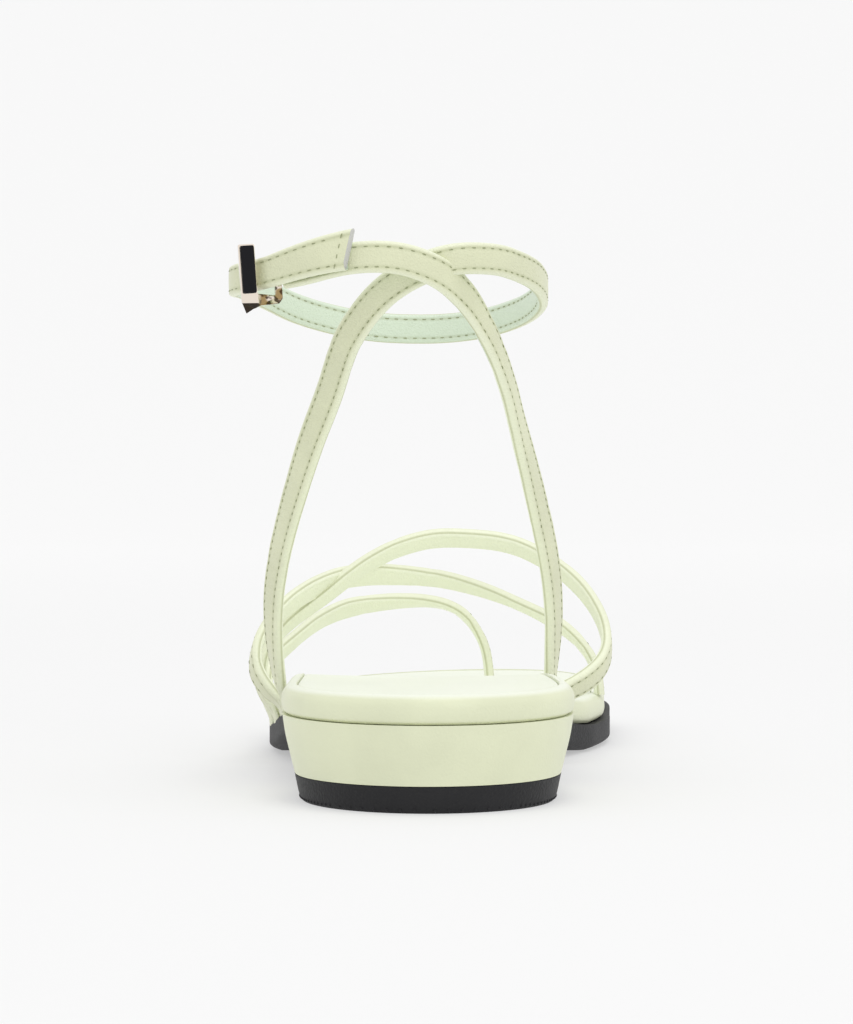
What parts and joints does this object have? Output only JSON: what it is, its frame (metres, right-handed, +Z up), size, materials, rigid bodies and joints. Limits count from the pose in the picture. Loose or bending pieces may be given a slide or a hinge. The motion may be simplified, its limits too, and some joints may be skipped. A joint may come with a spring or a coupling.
{
  "type": "ankle strap sandal",
  "caption": "Flat women's ankle strap sandal in pale green leather with crossed instep straps, a toe strap, a low block heel and a small gold hook buckle.",
  "frame": {"origin": "on the floor under the middle of the heel", "axes": "X to the inner side of the foot, Y from the heel to the toe, Z up"},
  "size_m": [0.089, 0.2445, 0.1188],
  "materials": {
    "strap_leather": "soft grained, pale yellow green",
    "insock_lining": "smooth, cream white",
    "sole_rubber": "matt, fine texture",
    "pale_gold": "polished, pale pink gold",
    "black_enamel": "glossy"
  },
  "bodies": {
    "root": {"outsole": "sole_rubber", "heel_lift": "sole_rubber", "heel_block": "strap_leather", "footbed": "strap_leather", "insock": "insock_lining", "instep_straps": "strap_leather", "toe_strap": "strap_leather", "ankle_straps": "strap_leather", "buckle_frame": "pale_gold", "buckle_inlay": "black_enamel"}
  },
  "joints": []
}
